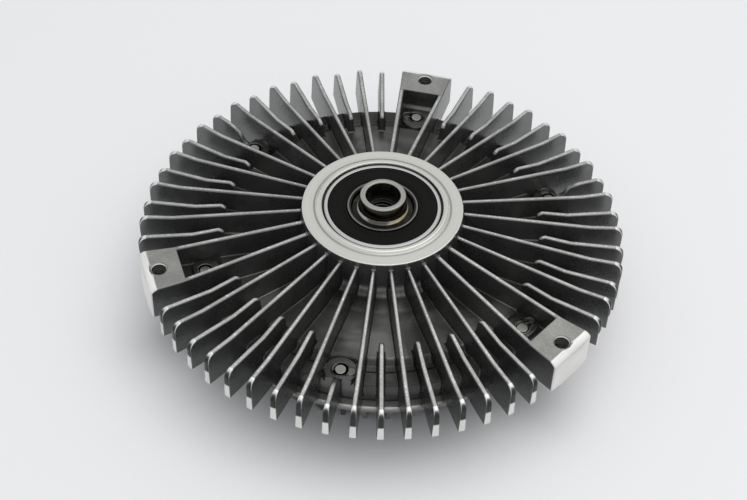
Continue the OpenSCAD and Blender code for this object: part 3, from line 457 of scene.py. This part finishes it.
def colour_casting(tree, spot, on, grain, rings):
    """Colours the skin and plate in painted shade, the edges and flange in painted light, and the fin ends,
    low rim and hub seam in painted shade; shades them by the grain with painted glints on the edges, and adds
    the bright lower fin ends, painted highlights on corners, lug noses and hole rims, and the turned hub.
    """
    # Painted shade on the plate, broken by cloudy patches of painted sheen
    clouds = add_node(tree, "TexNoise", Vector=spot.place, Scale=34.0, Detail=3.0, Distortion=0.8)
    painted_sheen = ease(tree, clouds.outputs["Fac"], 0.46, 0.70)
    plate_tone = blend_colour(tree, painted_sheen, SHADED_PLATE_COLOUR, PLATE_PAINTED_SHEEN_COLOUR)
    # Painted light on the upward faces of fins, lugs and pads
    lit_edge_tone = blend_colour(tree, on.lug, LIT_EDGE_COLOUR, LIT_LUG_COLOUR)
    lit_edge_tone = blend_colour(tree, on.pad, lit_edge_tone, LIT_PAD_COLOUR)
    colour = blend_colour(tree, on.plate, SHADED_SKIN_COLOUR, plate_tone)
    colour = blend_colour(tree, on.edge, colour, lit_edge_tone)
    # Painted shade on the fin ends
    colour = blend_colour(tree, on.fin_end, colour, SHADED_END_COLOUR)
    # Painted shade low on the rim
    colour = blend_colour(tree, weaken(tree, on.low_rim, 0.6), colour, SHADE_AND_GRIME_COLOUR)
    # Painted light on the flange
    colour = blend_colour(tree, on.flange, colour, LIT_EDGE_COLOUR)
    # Painted glints: grain speckles brightened on the upward edges
    sparkle = all_of(tree, grain["Sparkle"], on.edge, blend_value(tree, on.lug, 0.8, 0.25))
    shade = calc(tree, "ADD", ease(tree, grain["Mottle"], 0.0, 1.0, 0.72, 0.95), sparkle)
    colour = blend_colour(tree, 1.0, colour, shade, "MULTIPLY")
    # Painted highlights on the fin corners and hole rims, and on the lug noses below
    painted_glint = weaken(tree, any_of(tree, on.corner, on.hole_rim), 0.8)
    end_tone = blend_colour(tree, weaken(tree, grain["Mottle"], 0.2), BRIGHT_END_AND_GLINT_COLOUR, LIT_EDGE_COLOUR)
    colour = blend_colour(tree, any_of(tree, on.turned_end, on.lug_nose, painted_glint), colour, end_tone)
    hub_tone = blend_colour(tree, weaken(tree, rings["Band"], 0.5), HUB_COLOUR, WORN_HUB_COLOUR)
    # Painted shade along the line at the cove
    hub_tone = blend_colour(tree, weaken(tree, on.seam, 0.75), hub_tone, SHADED_SKIN_COLOUR)
    return blend_colour(tree, on.hub, colour, hub_tone)


def roughen_casting(tree, on, grain, rings):
    """Gives the skin, edges, lug noses and hub their roughness."""
    rough = blend_value(tree, on.lug_nose, blend_value(tree, on.edge, 0.25, 0.38), 0.5)
    rough = calc(tree, "ADD", rough, weaken(tree, grain["Mottle"], 0.06))
    rough = blend_value(tree, on.hub, rough, ease(tree, rings["Band"], 0.0, 1.0, 0.22, 0.30))
    return blend_value(tree, on.cove, rough, 0.25)


def make_cast_aluminium():
    """Raw casting: dark satin fin sides whose darkness is painted shade, plate in painted shade with painted
    sheen, fin edges in painted light, fin ends in painted shade with a bright lower part, lugs and hub.
    """
    finish, tree, shader = new_finish("cast_aluminium", SHADED_SKIN_COLOUR, metallic=0.85, roughness=0.36)
    spot = find_spot(tree)
    on = SimpleNamespace()
    for mark in (mark_edges, mark_rim, mark_fin_ends, mark_lugs, mark_hub):
        mark(tree, spot, on)
    grain = place(tree, casting_grain, Grain_scale=1100.0)
    rings = place(tree, turned_rings, Ring_scale=2200.0)
    ring_height = weaken(tree, rings["Height"], blend_value(tree, on.cove, 0.6, 0.1))
    height = blend_value(tree, on.hub, grain["Height"], ring_height)
    feed(tree, shader["Base Color"], colour_casting(tree, spot, on, grain, rings))
    feed(tree, shader["Metallic"], blend_value(tree, any_of(tree, on.edge, on.hub), 0.8, 1.0))
    feed(tree, shader["Roughness"], roughen_casting(tree, on, grain, rings))
    add_bump(tree, shader, height, strength=0.35, distance=0.12 * MM)
    return finish


def make_turned_metal(name, colour, roughness, ring_scale, mark_scale=90.0, shade_and_grime=0.0, oil=0.0):
    """Turned metal: fine rings round the axis, finger smears, small scuffs, and painted shade, given as dirt,
    where it is recessed.
    """
    finish, tree, shader = new_finish(name, colour, metallic=1.0, roughness=roughness)
    rings = place(tree, turned_rings, Ring_scale=ring_scale)
    marks = place(tree, handling_marks, Mark_scale=mark_scale)
    dull = tuple(0.82 * part for part in colour[:3]) + (1,)
    tone = blend_colour(tree, weaken(tree, rings["Band"], 0.5), colour, dull)
    tone = blend_colour(tree, weaken(tree, marks["Scuff"], 0.25), tone, dull)
    rough = calc(tree, "ADD", ease(tree, marks["Smear"], 0.0, 1.0, roughness, roughness + 0.1),
                 weaken(tree, marks["Scuff"], 0.1))
    if shade_and_grime:
        shade_and_dirt = place(tree, recess_grime, Depth=shade_and_grime)
        tone = blend_colour(tree, weaken(tree, shade_and_dirt["Oil"], oil), tone, OIL_COLOUR)
        # Painted shade, given as grime, where the metal is recessed
        tone = blend_colour(tree, shade_and_dirt["Grime"], tone, SHADE_AND_GRIME_COLOUR)
        rough = calc(tree, "ADD", rough, weaken(tree, shade_and_dirt["Grime"], 0.15))
    feed(tree, shader["Base Color"], tone)
    feed(tree, shader["Roughness"], rough)
    add_bump(tree, shader, rings["Height"], strength=0.2, distance=0.03 * MM)
    return finish


def make_zinc_steel():
    """Zinc plated steel: cloudy plating with a faint warm and cool tint."""
    finish, tree, shader = new_finish("screw_steel", ZINC_COLOUR, metallic=1.0, roughness=0.3)
    grain = place(tree, casting_grain, Grain_scale=1600.0)
    marks = place(tree, handling_marks, Mark_scale=160.0)
    feed(tree, shader["Base Color"], blend_colour(tree, grain["Mottle"], ZINC_COLOUR, WARM_ZINC_COLOUR))
    feed(tree, shader["Roughness"], ease(tree, marks["Smear"], 0.0, 1.0, 0.24, 0.4))
    add_bump(tree, shader, grain["Height"], strength=0.15, distance=0.05 * MM)
    return finish


def make_strip_metal():
    """Rolled strip of two metals, brass coloured on its upper face and steel on its lower."""
    finish, tree, shader = new_finish("strip_metal", STRIP_STEEL_COLOUR, metallic=1.0, roughness=0.3)
    coords = add_node(tree, "TexCoord").outputs
    upper = ease(tree, split(tree, coords["Normal"])["Z"], -0.2, 0.2)
    stretched = add_node(tree, "Mapping", Vector=coords["Object"], Scale=(40.0, 2500.0, 400.0))
    rolling = add_node(tree, "TexNoise", Vector=stretched.outputs["Vector"], Scale=1.0, Detail=4.0)
    marks = place(tree, handling_marks, Mark_scale=120.0)
    tone = blend_colour(tree, upper, STRIP_STEEL_COLOUR, STRIP_BRASS_COLOUR)
    shade = ease(tree, rolling.outputs["Fac"], 0.3, 0.7, 0.8, 1.0)
    feed(tree, shader["Base Color"], blend_colour(tree, 1.0, tone, shade, "MULTIPLY"))
    feed(tree, shader["Roughness"], ease(tree, marks["Smear"], 0.0, 1.0, 0.26, 0.4))
    add_bump(tree, shader, rolling.outputs["Fac"], strength=0.2, distance=0.03 * MM)
    return finish


def make_black_rubber():
    """Moulded rubber: near black, matt, with a fine skin and dusty smears."""
    finish, tree, shader = new_finish("black_rubber", RUBBER_COLOUR, metallic=0.0, roughness=0.5)
    shader["Specular IOR Level"].default_value = 0.06
    grain = place(tree, casting_grain, Grain_scale=1500.0)
    marks = place(tree, handling_marks, Mark_scale=140.0)
    dust = all_of(tree, marks["Smear"], ease(tree, marks["Scuff"], 0.0, 1.0, 0.25, 0.6))
    feed(tree, shader["Base Color"], blend_colour(tree, dust, RUBBER_COLOUR, DUST_COLOUR))
    feed(tree, shader["Roughness"], ease(tree, marks["Smear"], 0.0, 1.0, 0.42, 0.58))
    add_bump(tree, shader, grain["Height"], strength=0.2, distance=0.04 * MM)
    return finish


finishes = {
    "cast_aluminium": make_cast_aluminium(),
    "turned_aluminium": make_turned_metal("turned_aluminium", HUB_COLOUR, roughness=0.28, ring_scale=1500.0),
    "screw_steel": make_zinc_steel(),
    "bearing_steel": make_turned_metal("bearing_steel", RACE_COLOUR, roughness=0.14, ring_scale=3000.0,
                                       shade_and_grime=1.0),
    "shaft_steel": make_turned_metal("shaft_steel", SHAFT_COLOUR, roughness=0.12, ring_scale=1800.0,
                                     mark_scale=140.0, shade_and_grime=1.0, oil=0.7),
    # Painted shade: the inner race in a darker copy of the race steel
    "oiled_race": make_turned_metal("oiled_race", SHADED_RACE_COLOUR, roughness=0.18, ring_scale=3000.0,
                                    shade_and_grime=1.0),
    # Painted shade: thread ridges darkened for the shade inside the holes
    "thread_metal": make_turned_metal("thread_metal", SHADED_THREAD_COLOUR, roughness=0.26, ring_scale=3000.0,
                                      mark_scale=200.0),
    "strip_metal": make_strip_metal(),
    "black_rubber": make_black_rubber(),
    "brass": make_turned_metal("brass", BRASS_COLOUR, roughness=0.24, ring_scale=2200.0),
}
for subpart in frame["record"]["subparts"]:
    skin = nodes[subpart["node"]].data.materials
    skin.clear()
    skin.append(finishes[subpart["material_slot"]])


# Rounded edges of the rigid pieces
WELD_DISTANCE = 0.001 * MM
FLAT_ANGLE = math.radians(1)
SHARP_ANGLE = math.radians(35)
CASTING_SHARP_ANGLE = math.radians(50)
HOUSING_ROUND = 0.6 * MM
COVER_ROUND = 0.35 * MM
SMALL_PIECE_ROUND = 0.15 * MM


def round_edges(node, width, segments=2, from_angle=SHARP_ANGLE):
    """Rounds the sharp edges of a node by a small radius, and shades its faces smoothly."""
    weld = nodes[node].modifiers.new("weld", "WELD")
    weld.merge_threshold = WELD_DISTANCE
    flats = nodes[node].modifiers.new("flats", "DECIMATE")
    flats.decimate_type = "DISSOLVE"
    flats.angle_limit = FLAT_ANGLE
    rounding = nodes[node].modifiers.new("rounding", "BEVEL")
    rounding.width = width
    rounding.segments = segments
    rounding.limit_method = "ANGLE"
    rounding.angle_limit = from_angle
    rounding.use_clamp_overlap = False
    shading = nodes[node].modifiers.new("shading", "WEIGHTED_NORMAL")
    shading.keep_sharp = False


round_edges("housing", HOUSING_ROUND, segments=3, from_angle=CASTING_SHARP_ANGLE)
round_edges("front_cover", COVER_ROUND)
for small_node in ("cover_screws", "control_pin"):
    round_edges(small_node, SMALL_PIECE_ROUND)


# Pieces made here: turned shaft, races and seal, the bimetal strip and the threads
def add_piece(name, shape, body, finish, node=None):
    """Makes a piece of a bmesh, on a body, in place of a CAD node if one is named."""
    mesh = bpy.data.meshes.new(name)
    shape.to_mesh(mesh)
    shape.free()
    mesh.materials.append(finish)
    piece = bpy.data.objects.new(name, mesh)
    bpy.context.scene.collection.objects.link(piece)
    shading = piece.modifiers.new("shading", "WEIGHTED_NORMAL")
    shading.keep_sharp = False
    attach(piece, body)
    if node:
        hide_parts(node)
    return piece


def soften_corner(before, corner, after, width, steps=4):
    """Points of a small round at a corner of a profile."""
    start = corner + (before - corner).normalized() * width
    end = corner + (after - corner).normalized() * width
    shares = [i / steps for i in range(steps + 1)]
    return [start.lerp(corner, share).lerp(corner.lerp(end, share), share) for share in shares]


def soften_profile(corners):
    """Points of a profile of (radius, height, round), with its corners rounded."""
    spots = [Vector((radius, height)) for radius, height, _ in corners]
    profile = []
    for i, (_, _, width) in enumerate(corners):
        if width:
            profile += soften_corner(spots[i - 1], spots[i], spots[(i + 1) % len(spots)], width)
        else:
            profile.append(spots[i])
    return profile


def turn_piece(name, node, body, finish, corners, closed, turns=144):
    """Turns a profile about the axis, in place of a CAD node."""
    shape = bmesh.new()
    angles = [2 * math.pi * i / turns for i in range(turns)]
    rings = []
    for radius, height in soften_profile(corners):
        if radius < 0.0001 * MM:
            rings.append([shape.verts.new((0, 0, height))] * turns)
        else:
            rings.append([shape.verts.new((radius * math.cos(angle), radius * math.sin(angle), height))
                          for angle in angles])
    pairs = list(zip(rings, rings[1:]))
    if closed:
        pairs.append((rings[-1], rings[0]))
    for lower, upper in pairs:
        for i in range(turns):
            corners_of_face = [lower[i - 1], lower[i], upper[i], upper[i - 1]]
            shape.faces.new(list(dict.fromkeys(corners_of_face)))
    bmesh.ops.recalc_face_normals(shape, faces=shape.faces)
    for face in shape.faces:
        face.smooth = True
    return add_piece(name, shape, body, finish, node)


# Rounds on the corners of the turned pieces
GROOVE_ROUND = 0.08 * MM
FINE_ROUND = 0.1 * MM
LIP_ROUND = 0.12 * MM
EDGE_ROUND = 0.15 * MM
MOUTH_ROUND = 0.2 * MM
FOOT_ROUND = 0.6 * MM
COVE_ROUND = 0.7 * MM


def shaft_profile():
    """The shaft from its swaged end, over collar and spigot, and down the bore to the drill's point."""
    rotor_r = ROTOR_SEAT_R - PRESS_GAP
    race_r = BEARING_BORE_R - PRESS_GAP
    return [
        (0, SHAFT_END_Z, 0), (ROTOR_SEAT_R, SHAFT_END_Z, FINE_ROUND),
        (ROTOR_SEAT_R + SWAGE_W, ROTOR_LOW_Z, FINE_ROUND),
        (rotor_r, ROTOR_LOW_Z, 0), (rotor_r, ROTOR_TOP_Z, 0),
        (COLLAR_R - EDGE_W, ROTOR_TOP_Z, EDGE_ROUND), (COLLAR_R, ROTOR_TOP_Z + EDGE_W, EDGE_ROUND),
        (COLLAR_R, RACE_LOW_Z, FINE_ROUND), (race_r, RACE_LOW_Z, 0),
        (race_r, SHOULDER_Z - EDGE_W, EDGE_ROUND), (race_r - EDGE_W, SHOULDER_Z, EDGE_ROUND),
        (SPIGOT_R + SPIGOT_COVE_W, SHOULDER_Z, FOOT_ROUND),
        (SPIGOT_R, SHOULDER_Z + SPIGOT_COVE_W, COVE_ROUND),
        (SPIGOT_R, SPIGOT_TOP_Z - EDGE_W, MOUTH_ROUND), (SPIGOT_R - EDGE_W, SPIGOT_TOP_Z, MOUTH_ROUND),
        (MOUTH_R + EDGE_W, SPIGOT_TOP_Z, MOUTH_ROUND), (MOUTH_R, SPIGOT_TOP_Z - EDGE_W, MOUTH_ROUND),
        (MOUTH_R, THREAD_TOP_Z, FINE_ROUND), (THREAD_R, THREAD_TOP_Z, EDGE_ROUND),
        (THREAD_R, THREAD_LOW_Z, 0), (0, THREAD_LOW_Z - THREAD_R * math.tan(DRILL_ANGLE), 0)]


def ball_track(side, steps=12):
    """The ball track in a race, from its upper edge down, outside (1) or inside (-1) the balls."""
    angles = [TRACK_HALF_ANGLE * (1 - 2 * i / steps) for i in range(steps + 1)]
    return [(BALL_CIRCLE_R + side * TRACK_R * math.cos(angle), BALL_Z + TRACK_R * math.sin(angle), 0)
            for angle in angles]


def inner_race_profile():
    """The inner race: bore, ends, seal seats and ball track."""
    seat_r = INNER_LAND_R - SEAL_SEAT_W
    seat_top = RACE_TOP_Z - INNER_SEAT_DEPTH
    seat_low = RACE_LOW_Z + INNER_SEAT_DEPTH
    return [
        (BEARING_BORE_R, RACE_LOW_Z + EDGE_W, FINE_ROUND), (BEARING_BORE_R, RACE_TOP_Z - EDGE_W, EDGE_ROUND),
        (BEARING_BORE_R + EDGE_W, RACE_TOP_Z, EDGE_ROUND), (seat_r, RACE_TOP_Z, EDGE_ROUND),
        (seat_r, seat_top, 0), (INNER_LAND_R, seat_top, 0), *ball_track(-1),
        (INNER_LAND_R, seat_low, 0), (seat_r, seat_low, 0),
        (seat_r, RACE_LOW_Z, EDGE_ROUND), (BEARING_BORE_R + EDGE_W, RACE_LOW_Z, FINE_ROUND)]


def outer_race_profile():
    """The outer race: ends, outside, seal seats and ball track."""
    seat_r = OUTER_LAND_R + SEAL_SEAT_W
    seat_top = RACE_TOP_Z - OUTER_SEAT_DEPTH
    seat_low = RACE_LOW_Z + OUTER_SEAT_DEPTH
    return [
        (seat_r, RACE_LOW_Z, FINE_ROUND), (OUTER_RACE_R - EDGE_W, RACE_LOW_Z, EDGE_ROUND),
        (OUTER_RACE_R, RACE_LOW_Z + EDGE_W, EDGE_ROUND), (OUTER_RACE_R, RACE_TOP_Z - EDGE_W, EDGE_ROUND),
        (OUTER_RACE_R - EDGE_W, RACE_TOP_Z, EDGE_ROUND), (seat_r, RACE_TOP_Z, MOUTH_ROUND),
        (seat_r, seat_top, 0), (OUTER_LAND_R, seat_top, 0), *ball_track(1),
        (OUTER_LAND_R, seat_low, 0), (seat_r, seat_low, 0)]


def seal_profile(fold=0.35 * MM, outer_rim_w=0.65 * MM, inner_rim_w=0.5 * MM, groove_w=0.75 * MM,
                 groove_depth=0.15 * MM, field_drop=0.03 * MM):
    """The rear seal: a raised rim at each side with a groove inside it, and a lip on the inner race."""
    lip_r = INNER_LAND_R - SEAL_SEAT_W + SEAL_LIP_GAP
    inner_rim_r = lip_r + SEAL_SEAT_W
    outer_rim_r = OUTER_LAND_R + SEAL_SEAT_W - 2 * fold
    inner_groove_r = inner_rim_r + inner_rim_w
    outer_groove_r = outer_rim_r - outer_rim_w
    field_z = SEAL_TOP_Z - field_drop
    floor_z = SEAL_TOP_Z - groove_depth
    return [
        (lip_r, SEAL_LOW_Z, 0), (SEAL_R, SEAL_LOW_Z, 0),
        (SEAL_R, SEAL_TOP_Z - fold, FINE_ROUND), (outer_rim_r, SEAL_TOP_Z, EDGE_ROUND),
        (outer_groove_r, SEAL_TOP_Z, FINE_ROUND), (outer_groove_r - groove_depth, floor_z, GROOVE_ROUND),
        (outer_groove_r - groove_w + groove_depth, floor_z, GROOVE_ROUND),
        (outer_groove_r - groove_w, field_z, GROOVE_ROUND),
        (inner_groove_r + groove_w, field_z, GROOVE_ROUND),
        (inner_groove_r + groove_w - groove_depth, floor_z, GROOVE_ROUND),
        (inner_groove_r + groove_depth, floor_z, GROOVE_ROUND), (inner_groove_r, SEAL_TOP_Z, FINE_ROUND),
        (inner_rim_r, SEAL_TOP_Z, EDGE_ROUND), (inner_rim_r - fold, SEAL_TOP_Z - fold, LIP_ROUND),
        (lip_r + fold, SEAL_TOP_Z - fold / 2, LIP_ROUND), (lip_r, (SEAL_LOW_Z + SEAL_TOP_Z) / 2, FINE_ROUND)]


def curve_strip(edge_round):
    """The bimetal strip with rounded edges."""
    shape = bmesh.new()
    shape.from_mesh(nodes["bimetal_strip"].data)
    bmesh.ops.remove_doubles(shape, verts=shape.verts, dist=WELD_DISTANCE)
    bmesh.ops.dissolve_limit(shape, angle_limit=FLAT_ANGLE, verts=shape.verts, edges=shape.edges)
    sharp = [edge for edge in shape.edges if edge.is_manifold and edge.calc_face_angle() > SHARP_ANGLE]
    bmesh.ops.bevel(shape, geom=sharp, offset=edge_round, segments=2, profile=0.5, affect="EDGES")
    for face in shape.faces:
        face.smooth = True
    strip = add_piece("curved_strip", shape, "casing", finishes["strip_metal"], "bimetal_strip")
    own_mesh(strip)


def wind_thread(name, body, centre, radius, pitch, low, high, depth, steps=40):
    """A helical thread ridge on the wall of a hole, with its ends run out into the wall."""
    count = int((high - low) / pitch * steps)
    root_r = radius + 0.1 * depth
    half_root = 0.46 * pitch
    half_crest = 0.07 * pitch
    shape = bmesh.new()
    rows = []
    for i in range(count + 1):
        angle = 2 * math.pi * i / steps
        height = low + (high - low) * i / count
        crest_r = radius - depth * min(1.0, i / steps, (count - i) / steps)
        around = Vector((math.cos(angle), math.sin(angle), 0))
        section = ((root_r, -half_root), (crest_r, -half_crest), (crest_r, half_crest), (root_r, half_root))
        rows.append([shape.verts.new(centre + around * reach + Vector((0, 0, height + lift)))
                     for reach, lift in section])
    for first, second in zip(rows, rows[1:]):
        for i in range(4):
            after = (i + 1) % 4
            shape.faces.new((first[i], first[after], second[after], second[i]))
    shape.faces.new(rows[0][::-1])
    shape.faces.new(rows[-1])
    bmesh.ops.recalc_face_normals(shape, faces=shape.faces)
    add_piece(name, shape, body, finishes["thread_metal"])


# Threads
SHAFT_THREAD_PITCH = 1.75 * MM
SHAFT_THREAD_DEPTH = 0.4 * MM
SHAFT_THREAD_START = 1.0 * MM
SHAFT_THREAD_STOP = 0.9 * MM
LUG_THREAD_PITCH = 1.0 * MM
LUG_THREAD_DEPTH = 0.25 * MM
LUG_THREAD_START = 0.8 * MM
LUG_THREAD_STOP = 0.6 * MM

turn_piece("turned_shaft", "drive_shaft", "shaft", finishes["shaft_steel"],
           shaft_profile(), closed=False)
turn_piece("ground_inner_race", "bearing_inner_race", "shaft", finishes["oiled_race"],
           inner_race_profile(), closed=True)
turn_piece("ground_outer_race", "bearing_outer_race", "casing", finishes["bearing_steel"],
           outer_race_profile(), closed=True)
turn_piece("moulded_seal", "bearing_seal_rear", "casing", finishes["black_rubber"],
           seal_profile(), closed=True)
curve_strip(SMALL_PIECE_ROUND)
wind_thread("shaft_thread", "shaft", centre=Vector(), radius=THREAD_R,
            pitch=SHAFT_THREAD_PITCH, low=THREAD_LOW_Z + SHAFT_THREAD_START,
            high=THREAD_TOP_Z - SHAFT_THREAD_STOP, depth=SHAFT_THREAD_DEPTH)
for lug_number in range(LUG_COUNT):
    lug_turn = math.pi / 2 + 2 * math.pi * lug_number / LUG_COUNT
    lug_spot = Vector((math.cos(lug_turn), math.sin(lug_turn), 0)) * FAN_CIRCLE_R
    wind_thread(f"lug_thread_{lug_number + 1}", "casing", centre=lug_spot,
                radius=LUG_HOLE_R, pitch=LUG_THREAD_PITCH, low=FIN_FOOT_Z + LUG_THREAD_START,
                high=LUG_TOP_Z - LUG_THREAD_STOP, depth=LUG_THREAD_DEPTH)


# Camera, fitted to the photograph
CAMERA_PLACE = Vector((78.86, -437.24, 490.75)) * MM
CAMERA_AIM = Vector((1.62, -24.53, 52.0)) * MM
CAMERA_ROLL = math.radians(2.337)
CAMERA_ANGLE = math.radians(26.784)


def make_camera():
    """The camera at the photograph's view, with everything sharp."""
    camera = bpy.data.objects.new("camera", bpy.data.cameras.new("camera"))
    bpy.context.scene.collection.objects.link(camera)
    camera.location = CAMERA_PLACE
    camera.rotation_mode = "QUATERNION"
    aimed = (CAMERA_AIM - CAMERA_PLACE).to_track_quat("-Z", "Y")
    camera.rotation_quaternion = aimed @ Quaternion((0, 0, 1), CAMERA_ROLL)
    camera.data.sensor_fit = "HORIZONTAL"
    camera.data.angle = CAMERA_ANGLE
    bpy.context.scene.camera = camera


# Studio: pale floor, soft lamps and a white surround, in metres and watts
FLOOR_REACH = 4.0
LAMP_SIZE = 1.4
KEY_LAMP_PLACE = (0.3, 0.2, 1.4)
KEY_LAMP_POWER = 5.0
SOFT_LAMP_PLACE = (0.25, -0.2, 1.4)
SOFT_LAMP_POWER = 10.0
FILL_STRENGTH = 0.52
WHITE_STRENGTH = 1.0


def make_floor():
    """Large pale floor that the clutch stands on."""
    mesh = bpy.data.meshes.new("floor")
    corners = [(-1, -1), (1, -1), (1, 1), (-1, 1)]
    mesh.from_pydata([(x * FLOOR_REACH, y * FLOOR_REACH, 0) for x, y in corners], [], [(0, 1, 2, 3)])
    floor = bpy.data.objects.new("floor", mesh)
    bpy.context.scene.collection.objects.link(floor)
    finish, _, shader = new_finish("floor_paper", FLOOR_COLOUR, metallic=0.0, roughness=0.85)
    shader["Specular IOR Level"].default_value = 0.1
    mesh.materials.append(finish)


def add_lamp(name, spot, power, mirrored):
    """A soft square lamp that points at the clutch, and shows in its bright metal if it is mirrored."""
    lamp = bpy.data.objects.new(name, bpy.data.lights.new(name, "AREA"))
    lamp.data.size = LAMP_SIZE
    lamp.data.energy = power
    lamp.data.color = LAMP_COLOUR
    lamp.visible_glossy = mirrored
    lamp.location = spot
    lamp.rotation_mode = "QUATERNION"
    lamp.rotation_quaternion = (-lamp.location).to_track_quat("-Z", "Y")
    bpy.context.scene.collection.objects.link(lamp)


def make_surround():
    """White surround for the camera and for reflections, with a weaker soft fill."""
    world = bpy.data.worlds.new("surround")
    world.use_nodes = True
    bpy.context.scene.world = world
    tree = world.node_tree
    rays = add_node(tree, "LightPath").outputs
    seen = any_of(tree, rays["Is Camera Ray"], rays["Is Glossy Ray"], rays["Is Transmission Ray"])
    background = tree.nodes["Background"].inputs
    background["Color"].default_value = SURROUND_COLOUR
    feed(tree, background["Strength"], blend_value(tree, seen, FILL_STRENGTH, WHITE_STRENGTH))


make_camera()
make_floor()
add_lamp("key_lamp", KEY_LAMP_PLACE, KEY_LAMP_POWER, mirrored=True)
add_lamp("soft_lamp", SOFT_LAMP_PLACE, SOFT_LAMP_POWER, mirrored=False)
make_surround()
bpy.context.scene.view_settings.view_transform = "Standard"
